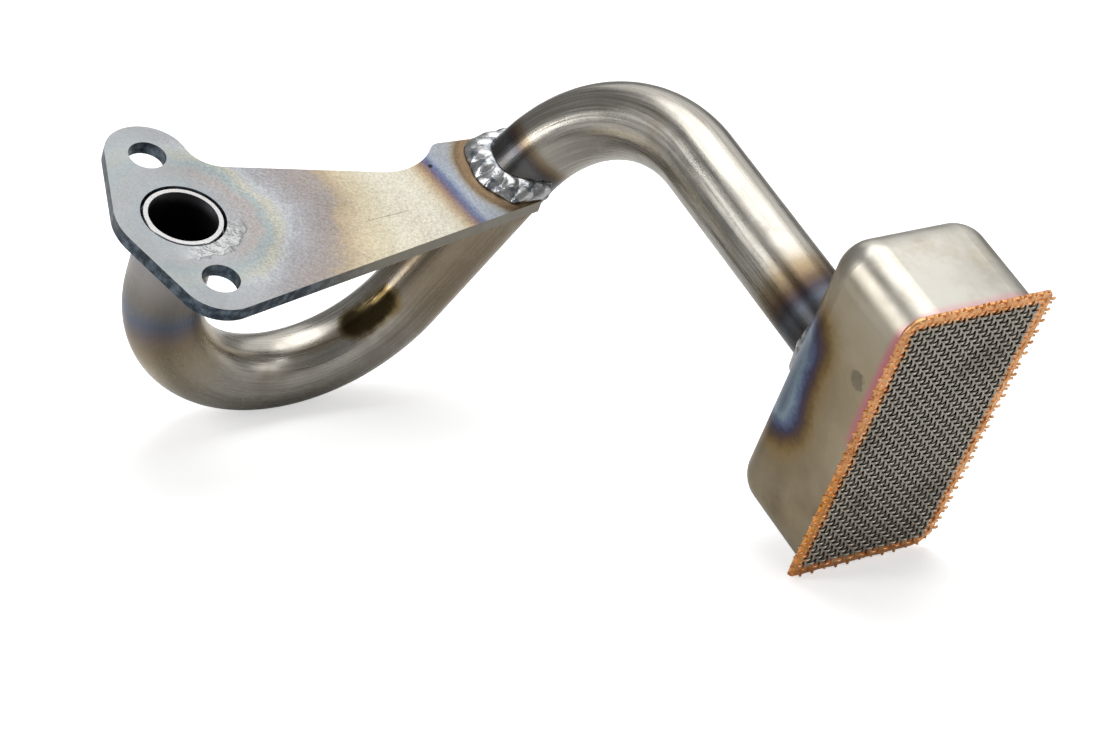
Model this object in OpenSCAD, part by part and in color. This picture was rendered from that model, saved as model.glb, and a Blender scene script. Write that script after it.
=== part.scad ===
// Oil pickup tube: a bent steel tube with a two-bolt flange and brace arm at its outlet,
// and a drawn inlet box closed by a brazed wire screen at its foot.
// It is drawn in the flange's frame (gasket face up, bore at the origin, bolts along X,
// brace arm along Y), then laid on the bench as it comes to rest. Millimetres, +Z up.

/* [Tube] */
// Outside diameter of the tube
tube_od = 19.05; // [16:0.05:22]
// Wall of the tube
tube_wall = 1.1; // [0.8:0.1:2]
// Centre-line radius of both bends
bend_r = 38.1; // [34:0.1:42]
// How much each face of the wall draws in through a bend
bend_thin = 0.05; // [0.03:0.01:0.1]
// Set-back of the tube's end below the gasket face
end_drop = 0.2; // [0:0.1:1]
// Straight stretch from the end to the low bend
inlet_run = 20.3; // [15:0.1:30]
// Angle of the low bend
low_bend = 151; // [146:0.5:156]
// Way the low bend heads, from the bolt line
low_heading = 90.5; // [85:0.5:95]
// Straight riser between the two bends
riser = 44; // [40:0.5:52]
// Angle of the top bend
top_bend = 90; // [84:0.5:96]
// Way the top bend turns, round the riser from the low bend's plane
top_heading = 91; // [80:0.5:100]
// Straight leg from the top bend to the back of the inlet box
drop_leg = 63; // [50:0.1:80]
// How far the tube stands into the inlet box
tube_reach = 2; // [0.5:0.5:6]

/* [Flange and brace arm] */
// Thickness of the plate
plate_t = 3.5; // [2.5:0.1:5]
// Distance between the bolt holes
bolt_spacing = 42.8; // [38:0.1:50]
// Diameter of the bolt holes
bolt_hole_d = 9.2; // [6:0.1:11]
// Gap between the tube and the plate's bore
bore_gap = 0.8; // [0.2:0.1:1.2]
// Radius of the ears round the bolt holes
ear_r = 10.3; // [8.5:0.1:12]
// Radius of the plate round the bore
boss_r = 16.6; // [14:0.1:18]
// Half width of the arm's head, where it takes the tube
head_half = 12.2; // [11.5:0.1:14]
// How far the arm's prongs reach past the middle of the tube
arm_wrap = 1.2; // [0:0.1:3]
// Gap between the tube and the notch in the arm
notch_gap = 0.4; // [0.1:0.1:0.8]
// Set-in of the arm's waist from the bore's centre line
waist_in = 5.7; // [3:0.1:8]
// Distance of the waist from the arm's end
waist_back = 36.8; // [32:0.1:42]
// Lean of the waisted edge from the arm's length
waist_lean = 12.6; // [8:0.2:15]
// Radius of the flare from the waist to the head
flare_r = 17; // [12:0.5:22]
// Radius on the head's corner
head_corner_r = 4; // [2:0.5:6]
// Fillet between the first ear and the waisted edge
ear_fillet_r = 9; // [5:0.5:12]

/* [Inlet box] */
// Long side of the box at its mouth
box_long = 80.8; // [70:0.1:90]
// Short side of the box at its mouth
box_short = 39.2; // [34:0.1:46]
// Depth of the box, from its back to its rim
box_depth = 29.5; // [22:0.1:38]
// Wall of the box
box_wall = 1.5; // [1:0.1:2.5]
// Radius of the drawn edge round the back
back_r = 8.5; // [6:0.1:8.8]
// Radius of the four drawn corners
corner_r = 9; // [9:0.1:12]
// Sideways offset of the box from the tube's axis
box_side = 1.9; // [-2.5:0.1:2.5]
// Twist of the box about the tube's axis
box_twist = 1.1; // [-4:0.1:4]
// Gap between the tube and its hole in the box
hole_gap = 0.1; // [0.05:0.05:0.3]

/* [Screen] */
// Spacing of the woven wires
wire_pitch = 1.7; // [1.4:0.05:2.2]
// Diameter of the wires
wire_d = 0.7; // [0.5:0.05:0.9]
// Thickness of the woven wall between the wires' crowns
weave_t = 0.5; // [0.3:0.05:0.8]
// Set-in of the screen's edge from the outside of the box
screen_in = 0.3; // [0.1:0.1:0.6]
// Snip off two of the screen's corners, along each edge
corner_cut = 3.5; // [2:0.1:6]
// Wires from one modelled gap to the next
gap_every = 3; // [3:1:4]

/* [Welds and braze] */
// Leg of the weld under the flange
flange_leg = 4.5; // [3:0.5:6]
// Leg of the weld round the tube at the box
box_leg = 3.6; // [2:0.2:5]
// Width of the arm's weld on the plate
arm_weld_w = 6.6; // [5:0.1:8]
// Height of the arm's weld
arm_weld_h = 4.5; // [3:0.1:6]
// How far the braze stands out past the box
braze_out = 0.6; // [0.2:0.1:1]
// How far the braze covers the screen's edge
braze_lap = 1.7; // [0.8:0.1:3]
// Thickness of the braze over the screen
braze_t = 0.5; // [0.2:0.1:1]

/* [Rest on the bench] */
// Turn of the box's foot from the X axis
bench_turn = 34; // [0:1:90]
// Bore from the middle of the footprint, along X
bore_x = -87.1; // [-120:0.1:0]
// Bore from the middle of the footprint, along Y
bore_y = 5.8; // [-60:0.1:60]

/* [Hidden] */
$fn = 64;
over = 1;
tube_r = tube_od / 2;
tube_bore_r = tube_r - tube_wall;
bend_lap = 0.3;
half = bolt_spacing / 2;

// Tube path: points p, headings d, and w the side that each bend turns to
function turned(v, k, a) = v * cos(a) + cross(k, v) * sin(a) + k * (k * v) * (1 - cos(a));
function bend_end(p, d, w, a) = p + d * bend_r * sin(a) + w * bend_r * (1 - cos(a));
d0 = [0, 0, -1];
w0 = [cos(low_heading), sin(low_heading), 0];
p0 = [0, 0, -end_drop];
p1 = p0 + d0 * inlet_run;
p2 = bend_end(p1, d0, w0, low_bend);
d1 = d0 * cos(low_bend) + w0 * sin(low_bend);
p3 = p2 + d1 * riser;
w1 = turned(w0 * cos(low_bend) - d0 * sin(low_bend), d1, top_heading);
p4 = bend_end(p3, d1, w1, top_bend);
d2 = d1 * cos(top_bend) + w1 * sin(top_bend);

// Inlet box axes: long side downwards, short side, and out of the mouth
down = [0, 0, -1] - d2 * (d2 * [0, 0, -1]);
box_u = turned(down / norm(down), d2, box_twist);
box_v = cross(d2, box_u);
box_back = p4 + d2 * drop_leg + box_v * box_side;
screen_t = weave_t + wire_d;
screen_long = box_long - 2 * screen_in;
screen_short = box_short - 2 * screen_in;
braze_long = box_long + 2 * braze_out;
braze_short = box_short + 2 * braze_out;
braze_h = screen_t + braze_t;

// Where the riser's axis meets the underside and the face of the plate
cross_low = p2 + d1 * ((-plate_t - p2.z) / d1.z);
cross_top = p2 + d1 * (-p2.z / d1.z);
arm_end = cross_low.y + arm_wrap;
head_x = cross_low.x - head_half;

// Waisted edge of the arm: a point on it, its heading and its outward normal
waist = [-waist_in, arm_end - waist_back];
edge_d = [sin(waist_lean), cos(waist_lean)];
edge_n = [-cos(waist_lean), sin(waist_lean)];
flare_c = waist + edge_n * flare_r;
corner_x = head_x + head_corner_r;
corner_y = flare_c.y + sqrt(pow(flare_r + head_corner_r, 2) - pow(corner_x - flare_c.x, 2));
corner_c = [corner_x, corner_y];
flare_end = flare_c + (corner_c - flare_c) * flare_r / (flare_r + head_corner_r);

// Fillet that runs from the first ear into the waisted edge
ear_1 = [-half, 0];
ear_2 = [half, 0];
fillet_line = waist + edge_n * ear_fillet_r - ear_1;
fillet_reach = pow(ear_r + ear_fillet_r, 2) - pow(cross(edge_d, fillet_line), 2);
fillet_c = ear_1 + fillet_line + edge_d * (sqrt(fillet_reach) - edge_d * fillet_line);
fillet_on_ear = ear_1 + (fillet_c - ear_1) * ear_r / (ear_r + ear_fillet_r);
fillet_on_edge = fillet_c - edge_n * ear_fillet_r;

// Straight edge of the arm, tangent to the second ear
head_right = [cross_low.x + head_half, arm_end];
to_head = head_right - ear_2;
straight_a = atan2(to_head.y, to_head.x) - acos(ear_r / norm(to_head));
straight_on_ear = ear_2 + ear_r * [cos(straight_a), sin(straight_a)];

// Lean of the flange's edge between an ear and the boss round the bore
boss_a = asin((boss_r - ear_r) / half);

// Bench: the normal on which the low bend and the screen's lower edge share one plane
foot = box_back + d2 * (box_depth + braze_h) + box_u * braze_long / 2;
low_c = p1 + w0 * bend_r;
function bench_n(a) = -cos(a) * box_u - sin(a) * d2;
function bend_clear(n) = (low_c - foot) * n - bend_r * norm([n * d0, n * w0]) - tube_r + bend_thin;
function rest_angle(lo, hi, k) =
    k == 0 ? (lo + hi) / 2 :
    let (mid = (lo + hi) / 2)
    bend_clear(bench_n(mid)) > 0 ? rest_angle(lo, mid, k - 1) : rest_angle(mid, hi, k - 1);
bench_z = bench_n(rest_angle(0, 60, 40));
bench_side = cross(bench_z, box_v);
bench_x = box_v * cos(bench_turn) - bench_side * sin(bench_turn);
bench_y = cross(bench_z, bench_x);

// Places children at a point, with the given directions as X, Y and Z
module place(o, x, y, z) {
    multmatrix([[x.x, y.x, z.x, o.x], [x.y, y.y, z.y, o.y], [x.z, y.z, z.z, o.z]])
        children();
}

// Places children with Z along a heading d and X along a side w
module heading(o, w, d) {
    place(o, w, cross(d, w), d) children();
}

// Places children in the box's frame: X long, Y short, Z out of the mouth, back at zero
module in_box() {
    place(box_back, box_u, box_v, d2) children();
}

// Places children along the tube's last leg, a little way back in the top bend
module last_leg() {
    in_box() translate([0, -box_side, -drop_leg - bend_lap]) children();
}

// Lays the flange's frame on the bench
module on_bench() {
    multmatrix([concat(bench_x, bore_x), concat(bench_y, bore_y), concat(bench_z, -foot * bench_z)])
        children();
}

module ring(r_out, r_in) {
    difference() {
        circle(r_out);
        if (r_in > 0) circle(r_in);
    }
}

module straight(p, w, d, length, r_out, r_in = 0) {
    heading(p, w, d) linear_extrude(length) ring(r_out, r_in);
}

module elbow(p, d, w, angle, r_out, r_in = 0) {
    place(p + w * bend_r, -w, d, cross(d, w))
        rotate_extrude(angle = angle) translate([bend_r, 0]) ring(r_out, r_in);
}

// Riser, run a little way into the bend at each end
module riser_run(r_out, r_in = 0) {
    straight(p2 - d1 * bend_lap, w1, d1, riser + 2 * bend_lap, r_out, r_in);
}

module top_elbow(r_out, r_in = 0) {
    elbow(p3, d1, w1, top_bend, r_out, r_in);
}

module plate_outline() {
    difference() {
        union() {
            circle(boss_r);
            translate(ear_1) circle(ear_r);
            translate(ear_2) circle(ear_r);
            translate(corner_c) circle(head_corner_r);
            polygon([
                ear_1,
                ear_1 + ear_r * [-sin(boss_a), -cos(boss_a)],
                boss_r * [-sin(boss_a), -cos(boss_a)],
                boss_r * [sin(boss_a), -cos(boss_a)],
                ear_2 + ear_r * [sin(boss_a), -cos(boss_a)],
                ear_2
            ]);
            polygon([
                ear_1,
                ear_2,
                straight_on_ear,
                head_right,
                [head_x, arm_end],
                [head_x, corner_c.y],
                corner_c,
                flare_end,
                waist,
                fillet_on_edge,
                fillet_on_ear
            ]);
        }
        translate(flare_c) circle(flare_r);
        translate(fillet_c) circle(ear_fillet_r);
    }
}

module flange_plate() {
    color("lightsteelblue") on_bench() difference() {
        translate([0, 0, -plate_t]) linear_extrude(plate_t) plate_outline();
        translate([0, 0, -plate_t - over]) cylinder(h = plate_t + 2 * over, r = tube_r + bore_gap);
        for (e = [ear_1, ear_2])
            translate([e.x, e.y, -plate_t - over]) cylinder(h = plate_t + 2 * over, d = bolt_hole_d);
        straight(p2, w1, d1, riser + tube_od, tube_r + notch_gap);
    }
}

module pickup_tube() {
    thin_r = tube_r - bend_thin;
    thin_bore_r = tube_bore_r + bend_thin;
    last_run = drop_leg + box_wall + tube_reach;
    color("silver") on_bench() {
        straight(p0, w0, d0, inlet_run + bend_lap, tube_r, tube_bore_r);
        elbow(p1, d0, w0, low_bend, thin_r, thin_bore_r);
        riser_run(tube_r, tube_bore_r);
        top_elbow(thin_r, thin_bore_r);
        last_leg() linear_extrude(last_run + bend_lap) ring(tube_r, tube_bore_r);
    }
}

// Side view of the box: flat mouth at the top, drawn radii at the back
module drawn_profile(width, depth, r) {
    translate([-width / 2, r]) square([width, depth - r]);
    translate([-width / 2 + r, 0]) square([width - 2 * r, depth]);
    for (x = [-1, 1])
        translate([x * (width / 2 - r), r]) circle(r);
}

// Half section of a drawn corner, from the corner's axis to its wall
module corner_profile(depth, edge_r, r) {
    translate([0, edge_r]) square([r, depth - edge_r]);
    square([r - edge_r, depth]);
    translate([r - edge_r, edge_r]) intersection() {
        circle(edge_r);
        translate([0, -edge_r]) square(edge_r);
    }
}

// The box's section across its short side, run along the long one
module drawn_barrel(length, short, depth, edge_r) {
    rotate([90, 0, 90]) translate([0, 0, -length / 2])
        linear_extrude(length) drawn_profile(short, depth, edge_r);
}

// Drawn box with its back at zero: two barrels that cross, and a turned corner at each end
module drawn_form(long, short, depth, edge_r, r) {
    mid_long = long - 2 * r;
    mid_short = short - 2 * r;
    drawn_barrel(mid_long, short, depth, edge_r);
    rotate([0, 0, 90]) drawn_barrel(mid_short, long, depth, edge_r);
    for (k = [0 : 3]) {
        side_u = (k == 0 || k == 3) ? 1 : -1;
        side_v = (k < 2) ? 1 : -1;
        translate([side_u * mid_long / 2, side_v * mid_short / 2, 0]) rotate([0, 0, 90 * k])
            rotate_extrude(angle = 90) corner_profile(depth, edge_r, r);
    }
}

module inlet_box() {
    color("darkkhaki") on_bench() in_box() difference() {
        drawn_form(box_long, box_short, box_depth, back_r, corner_r);
        translate([0, 0, box_wall])
            drawn_form(box_long - 2 * box_wall, box_short - 2 * box_wall, box_depth,
                back_r - box_wall, corner_r - box_wall);
        translate([0, -box_side, -over])
            cylinder(h = back_r + over, r = tube_r + hole_gap);
    }
}

// What is snipped off two opposite corners of a sheet
module snipped(long, short) {
    for (k = [0, 180])
        rotate([0, 0, k]) translate([long / 2, short / 2, 0]) rotate([0, 0, 45])
            cube([corner_cut * sqrt(2), 2 * short, 4 * screen_t], center = true);
}

// Half of the woven wall: a flat web with a row of round wire crowns on it
module wire_row(length, count) {
    translate([-length / 2, 0]) square([length, weave_t / 2]);
    intersection() {
        translate([-length / 2, 0]) square([length, weave_t / 2 + wire_d]);
        for (i = [0 : count - 1])
            translate([(i - (count - 1) / 2) * wire_pitch, weave_t / 2]) circle(d = wire_d);
    }
}

module wire_screen() {
    across = floor((screen_long - wire_d) / wire_pitch);
    along = floor((screen_short - wire_d) / wire_pitch);
    gap_w = wire_pitch - wire_d;
    step = gap_every * wire_pitch;
    rows = min(15, floor((screen_long - 2 * braze_lap) / step));
    columns = min(8, floor((screen_short - 2 * braze_lap) / step));
    shift_u = (across % 2 == rows % 2) ? wire_pitch / 2 : 0;
    shift_v = (along % 2 == columns % 2) ? wire_pitch / 2 : 0;
    color("dimgray") on_bench() in_box() translate([0, 0, box_depth + screen_t / 2]) difference() {
        union() {
            rotate([90, 0, 0]) translate([0, 0, -screen_short / 2])
                linear_extrude(screen_short) wire_row(screen_long, across);
            mirror([0, 0, 1]) rotate([90, 0, 90]) translate([0, 0, -screen_long / 2])
                linear_extrude(screen_long) wire_row(screen_short, along);
        }
        for (i = [0 : rows - 1], j = [0 : columns - 1])
            translate([(i - (rows - 1) / 2) * step + shift_u, (j - (columns - 1) / 2) * step + shift_v, 0])
                cube([gap_w, gap_w, 2 * screen_t], center = true);
        snipped(screen_long, screen_short);
    }
}

// Frame of copper braze that holds the screen's edge on the rim of the box
module screen_braze() {
    window_long = screen_long - 2 * braze_lap;
    window_short = screen_short - 2 * braze_lap;
    color("peru") on_bench() in_box() translate([0, 0, box_depth]) difference() {
        linear_extrude(braze_h) square([braze_long, braze_short], center = true);
        translate([0, 0, -over]) linear_extrude(over + screen_t)
            square([screen_long, screen_short], center = true);
        linear_extrude(2 * braze_h) square([window_long, window_short], center = true);
        snipped(braze_long, braze_short);
    }
}

module flange_weld() {
    color("slategray") on_bench() translate([0, 0, -plate_t]) mirror([0, 0, 1]) rotate_extrude()
        polygon([[tube_r, 0], [tube_r + flange_leg, 0], [tube_r, flange_leg]]);
}

// Fillet round the notch: a low cone on the plate, cut by the tube and by the plate's outline
module arm_weld() {
    reach = tube_r + arm_weld_w;
    color("gainsboro") on_bench() difference() {
        intersection() {
            linear_extrude(arm_weld_h) plate_outline();
            translate([cross_top.x, cross_top.y, 0])
                cylinder(h = arm_weld_h, r1 = reach, r2 = reach - arm_weld_h);
        }
        riser_run(tube_r);
        top_elbow(tube_r - bend_thin);
    }
}

module box_weld() {
    color("slategray") on_bench() in_box() difference() {
        translate([0, -box_side, 0]) rotate_extrude()
            polygon([
                [tube_r, back_r],
                [tube_r + box_leg, back_r],
                [tube_r + box_leg, 0],
                [tube_r, -box_leg]
            ]);
        drawn_barrel(box_long / 2, box_short, box_depth, back_r);
    }
}

flange_plate();
pickup_tube();
inlet_box();
wire_screen();
screen_braze();
flange_weld();
arm_weld();
box_weld();
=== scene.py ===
import math
import bmesh
import bpy
from mathutils import Matrix, Vector, noise


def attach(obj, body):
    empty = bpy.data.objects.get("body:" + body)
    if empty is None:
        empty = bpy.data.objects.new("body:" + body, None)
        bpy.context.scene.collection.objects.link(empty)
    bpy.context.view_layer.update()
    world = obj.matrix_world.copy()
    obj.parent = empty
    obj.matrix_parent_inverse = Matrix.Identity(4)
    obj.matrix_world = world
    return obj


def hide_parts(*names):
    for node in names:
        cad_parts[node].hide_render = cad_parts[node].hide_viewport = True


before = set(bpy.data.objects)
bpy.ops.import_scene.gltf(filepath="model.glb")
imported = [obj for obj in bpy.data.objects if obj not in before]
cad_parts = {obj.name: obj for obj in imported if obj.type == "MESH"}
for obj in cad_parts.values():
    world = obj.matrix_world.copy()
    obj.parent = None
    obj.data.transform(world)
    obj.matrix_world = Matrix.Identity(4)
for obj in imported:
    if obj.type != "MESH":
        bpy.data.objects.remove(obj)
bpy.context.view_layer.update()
mm = 0.001

# where the flange and the inlet box lie on the bench, in millimetres of the row frame
flangeAt = dict(
    origin=Vector((-87.1, 5.8, 64.058)),
    x=Vector((0.492457, -0.772699, -0.400528)),  # along the bolts
    y=Vector((0.836551, 0.547217, -0.027136)),  # along the brace arm
    z=Vector((0.240144, -0.321699, 0.915883)),  # out of the flange's outer face
)
boxAt = dict(
    origin=Vector((66.52, -18.58, 50.172)),
    x=Vector((-0.2286, 0.33891, -0.91262)),  # long side, downwards
    y=Vector((0.82904, 0.55919, 0.0)),  # short side
    z=Vector((0.51033, -0.7566, -0.4088)),  # out of the mouth
)
armCrossing = (-0.8, 93.0, 0.0)  # where the riser meets the arm, in the flange's frame

# the tube's UV counts turns in U and millimetres times alongScale in V
alongScale = 0.01
insideTurn = 2.0  # the inside lies this many turns further on


def placed(at, p):
    return (at["origin"] + at["x"] * p[0] + at["y"] * p[1] + at["z"] * p[2]) * mm


def frameMatrix(x, y, z, origin):
    matrix = Matrix((x, y, z)).transposed().to_4x4()
    matrix.translation = origin
    return matrix


def newObject(name, data):
    obj = bpy.data.objects.new(name, data)
    bpy.context.scene.collection.objects.link(obj)
    return obj


def meshObject(name, mesh):
    data = bpy.data.meshes.new(name)
    mesh.to_mesh(data)
    mesh.free()
    return newObject(name, data)


def loft(mesh, rings, closed, smooth):
    count, across = len(rings), len(rings[0])
    for i in range(count if closed else count - 1):
        a, b = rings[i], rings[(i + 1) % count]
        for k in range(across):
            n = (k + 1) % across
            mesh.faces.new((a[k], b[k], b[n], a[n])).smooth = smooth


def paint(mesh, material):
    mesh.materials.clear()
    mesh.materials.append(material)


def dress(obj, material, slotName, *nodes):
    paint(obj.data, material)
    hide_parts(*nodes)
    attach(obj, "root")


# helpers for shader trees and geometry trees
def feed(tree, socket, value):  # an output is linked, and anything else is set
    if isinstance(value, bpy.types.NodeSocket):
        tree.links.new(value, socket)
    else:
        socket.default_value = value


def addNode(tree, kind, inputs):
    node = tree.nodes.new(kind)
    for label, value in inputs.items():
        feed(tree, node.inputs[label], value)
    return node


def newGroup(name, kind, inputs, outputs):
    tree = bpy.data.node_groups.new(name, kind)
    for way, sockets in (("INPUT", inputs), ("OUTPUT", outputs)):
        for label, socketKind in sockets.items():
            tree.interface.new_socket(name=label, in_out=way, socket_type="NodeSocket" + socketKind)
    return tree, tree.nodes.new("NodeGroupInput").outputs, tree.nodes.new("NodeGroupOutput").inputs


def mathNode(tree, operation, *values):
    node = tree.nodes.new("ShaderNodeMath")
    node.operation = operation
    for socket, value in zip(node.inputs, values):
        feed(tree, socket, value)
    return node.outputs[0]


def plus(tree, a, b):
    return mathNode(tree, "ADD", a, b)


def minus(tree, a, b):
    return mathNode(tree, "SUBTRACT", a, b)


def times(tree, a, b):
    return mathNode(tree, "MULTIPLY", a, b)


def over(tree, a, b):
    return mathNode(tree, "DIVIDE", a, b)


def larger(tree, a, b):
    return mathNode(tree, "MAXIMUM", a, b)


def unsigned(tree, a):
    return mathNode(tree, "ABSOLUTE", a)


def above(tree, a, b):
    return mathNode(tree, "GREATER_THAN", a, b)


def vectorNode(tree, operation, a, b=None, scale=None):
    node = tree.nodes.new("ShaderNodeVectorMath")
    node.operation = operation
    feed(tree, node.inputs[0], a)
    if b is not None:
        feed(tree, node.inputs[1], b)
    if scale is not None:
        feed(tree, node.inputs["Scale"], scale)
    return node.outputs["Value" if operation in ("DISTANCE", "DOT_PRODUCT") else "Vector"]


def vectorOf(tree, **parts):
    return addNode(tree, "ShaderNodeCombineXYZ", parts).outputs[0]


def mapRange(tree, value, low, high, toLow=0.0, toHigh=1.0, smooth=False):
    node = tree.nodes.new("ShaderNodeMapRange")
    node.interpolation_type = "SMOOTHSTEP" if smooth else "LINEAR"
    for socket, setting in zip(node.inputs[:5], (value, low, high, toLow, toHigh)):
        feed(tree, socket, setting)
    return node.outputs["Result"]


def window(tree, value, low, high, soft):  # 1 between low and high, 0 elsewhere
    rise = mapRange(tree, value, low - soft, low + soft, 0.0, 1.0, smooth=True)
    fall = mapRange(tree, value, high - soft, high + soft, 1.0, 0.0, smooth=True)
    return times(tree, rise, fall)


def noiseNode(tree, vector, scale, detail=3.0, rough=0.55):
    inputs = {"Vector": vector, "Scale": scale, "Detail": detail, "Roughness": rough}
    return addNode(tree, "ShaderNodeTexNoise", inputs).outputs["Fac"]


def swing(tree, vector, scale, detail=3.0, rough=0.55):  # noise that goes both ways from 0
    return minus(tree, noiseNode(tree, vector, scale, detail, rough), 0.5)


def mixColor(tree, factor, a, b, blend="MIX"):
    node = tree.nodes.new("ShaderNodeMix")
    node.data_type = "RGBA"
    node.blend_type = blend
    for socket, value in zip((node.inputs[0], node.inputs[6], node.inputs[7]), (factor, a, b)):
        feed(tree, socket, value)
    return node.outputs[2]


def shaded(tree, color, brightness):
    grey = tree.nodes.new("ShaderNodeCombineColor")
    for socket in grey.inputs[:3]:
        feed(tree, socket, brightness)
    return mixColor(tree, 1.0, color, grey.outputs[0], "MULTIPLY")


def rampNode(tree, factor, stops):
    node = addNode(tree, "ShaderNodeValToRGB", {"Fac": factor})
    ramp = node.color_ramp
    while len(ramp.elements) < len(stops):
        ramp.elements.new(0.5)
    for element, (position, *color) in zip(ramp.elements, stops):
        element.position = position
        element.color = (*color, 1)
    return node.outputs["Color"]


def objectCoord(tree):
    return tree.nodes.new("ShaderNodeTexCoord").outputs["Object"]


def facing(tree, direction):
    normal = tree.nodes.new("ShaderNodeNewGeometry").outputs["Normal"]
    return vectorNode(tree, "DOT_PRODUCT", normal, direction)


# distances in millimetres, in the flange's frame or the box's
def pointGap(tree, coord, at, p):
    return over(tree, vectorNode(tree, "DISTANCE", coord, placed(at, p)), mm)


def lineGap(tree, coord, at, start, end):
    first = placed(at, start)
    span = placed(at, end) - first
    away = vectorNode(tree, "SUBTRACT", coord, first)
    share = mapRange(tree, vectorNode(tree, "DOT_PRODUCT", away, span), 0.0, span.length_squared)
    foot = vectorNode(tree, "SCALE", span, scale=share)
    return over(tree, vectorNode(tree, "DISTANCE", away, foot), mm)


def axisValue(tree, coord, at, axis):
    offset = at["origin"].dot(at[axis])
    return minus(tree, over(tree, vectorNode(tree, "DOT_PRODUCT", coord, at[axis]), mm), offset)


def wrapped(tree, uv):  # turns around the tube, and millimetres along it
    split = addNode(tree, "ShaderNodeSeparateXYZ", {0: uv}).outputs
    return split["X"], times(tree, split["Y"], 1 / alongScale)


# heat tints of steel: each stop is a place from the weld outwards, with its red, green and blue
heatTints = dict(
    temper=dict(fadeFrom=0.55, stops=[
        (0.00, 0.27, 0.28, 0.29), (0.22, 0.26, 0.29, 0.34), (0.285, 0.08, 0.11, 0.21),
        (0.33, 0.11, 0.08, 0.13), (0.38, 0.24, 0.16, 0.10), (0.43, 0.36, 0.28, 0.18),
        (0.50, 0.46, 0.42, 0.33), (0.64, 0.50, 0.48, 0.41), (1.00, 0.48, 0.45, 0.38),
    ]),
    scorch=dict(fadeFrom=0.40, stops=[
        (0.00, 0.20, 0.13, 0.07), (0.35, 0.15, 0.10, 0.05), (0.70, 0.25, 0.21, 0.15),
        (1.00, 0.27, 0.28, 0.29),
    ]),
    dark=dict(fadeFrom=0.75, stops=[
        (0.00, 0.05, 0.05, 0.06), (0.22, 0.06, 0.065, 0.08), (0.38, 0.08, 0.10, 0.155),
        (0.50, 0.10, 0.075, 0.10), (0.62, 0.18, 0.12, 0.06), (0.80, 0.34, 0.27, 0.17),
        (1.00, 0.42, 0.38, 0.31),
    ]),
    soft=dict(fadeFrom=0.70, stops=[
        (0.00, 0.36, 0.36, 0.365), (0.08, 0.37, 0.345, 0.335), (0.20, 0.25, 0.23, 0.205),
        (0.30, 0.13, 0.165, 0.24), (0.36, 0.21, 0.175, 0.19), (0.45, 0.35, 0.27, 0.17),
        (0.62, 0.53, 0.45, 0.325), (1.00, 0.50, 0.465, 0.40),
    ]),
    halo=dict(fadeFrom=0.80, stops=[
        (0.00, 0.23, 0.25, 0.28), (0.14, 0.265, 0.24, 0.235), (0.19, 0.22, 0.265, 0.28),
        (0.235, 0.33, 0.325, 0.275), (0.28, 0.31, 0.325, 0.345), (0.32, 0.245, 0.25, 0.27),
        (0.42, 0.215, 0.195, 0.20), (0.475, 0.22, 0.19, 0.175), (0.53, 0.31, 0.245, 0.165),
        (0.63, 0.415, 0.36, 0.25), (0.79, 0.495, 0.47, 0.38), (1.00, 0.48, 0.45, 0.38),
    ]),
    spot=dict(fadeFrom=0.72, stops=[
        (0.00, 0.15, 0.19, 0.25), (0.20, 0.20, 0.27, 0.36), (0.30, 0.27, 0.37, 0.45),
        (0.38, 0.13, 0.18, 0.30), (0.50, 0.05, 0.045, 0.10), (0.60, 0.10, 0.06, 0.04),
        (0.70, 0.20, 0.125, 0.045), (0.84, 0.32, 0.22, 0.09), (1.00, 0.38, 0.29, 0.15),
    ]),
    ring=dict(fadeFrom=0.75, stops=[
        (0.00, 0.035, 0.035, 0.04), (0.22, 0.04, 0.04, 0.045), (0.36, 0.055, 0.065, 0.085),
        (0.46, 0.03, 0.024, 0.035), (0.56, 0.075, 0.045, 0.025), (0.68, 0.20, 0.145, 0.08),
        (0.82, 0.32, 0.265, 0.19), (1.00, 0.42, 0.38, 0.32),
    ]),
)
heatDrift = dict(broadScale=60.0, fineScale=700.0, fineShare=0.35)


def buildHeatGroup(name, stops, fadeFrom):
    numbers = ("Distance", "Near", "Far", "Wobble", "Amount")
    sockets = {"Base": "Color", **dict.fromkeys(numbers, "Float")}
    tree, into, out = newGroup(name, "ShaderNodeTree", sockets, {"Color": "Color"})
    coord = objectCoord(tree)
    broad = swing(tree, coord, heatDrift["broadScale"])
    fine = swing(tree, coord, heatDrift["fineScale"], detail=2.0)
    spread = plus(tree, broad, times(tree, fine, heatDrift["fineShare"]))
    reach = mapRange(tree, into["Distance"], into["Near"], into["Far"])
    band = plus(tree, reach, times(tree, spread, into["Wobble"]))
    fade = times(tree, mapRange(tree, band, fadeFrom, 1.0, 1.0, 0.0), into["Amount"])
    feed(tree, out["Color"], mixColor(tree, fade, into["Base"], rampNode(tree, band, stops)))
    return tree


wornSteel = dict(
    blotScale=55.0, speckScale=900.0, stainFrom=0.52, stainTo=0.75,
    blotMiddle=0.4, blotRough=0.35, grainRough=0.3, speckHeight=0.4,
)


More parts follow.
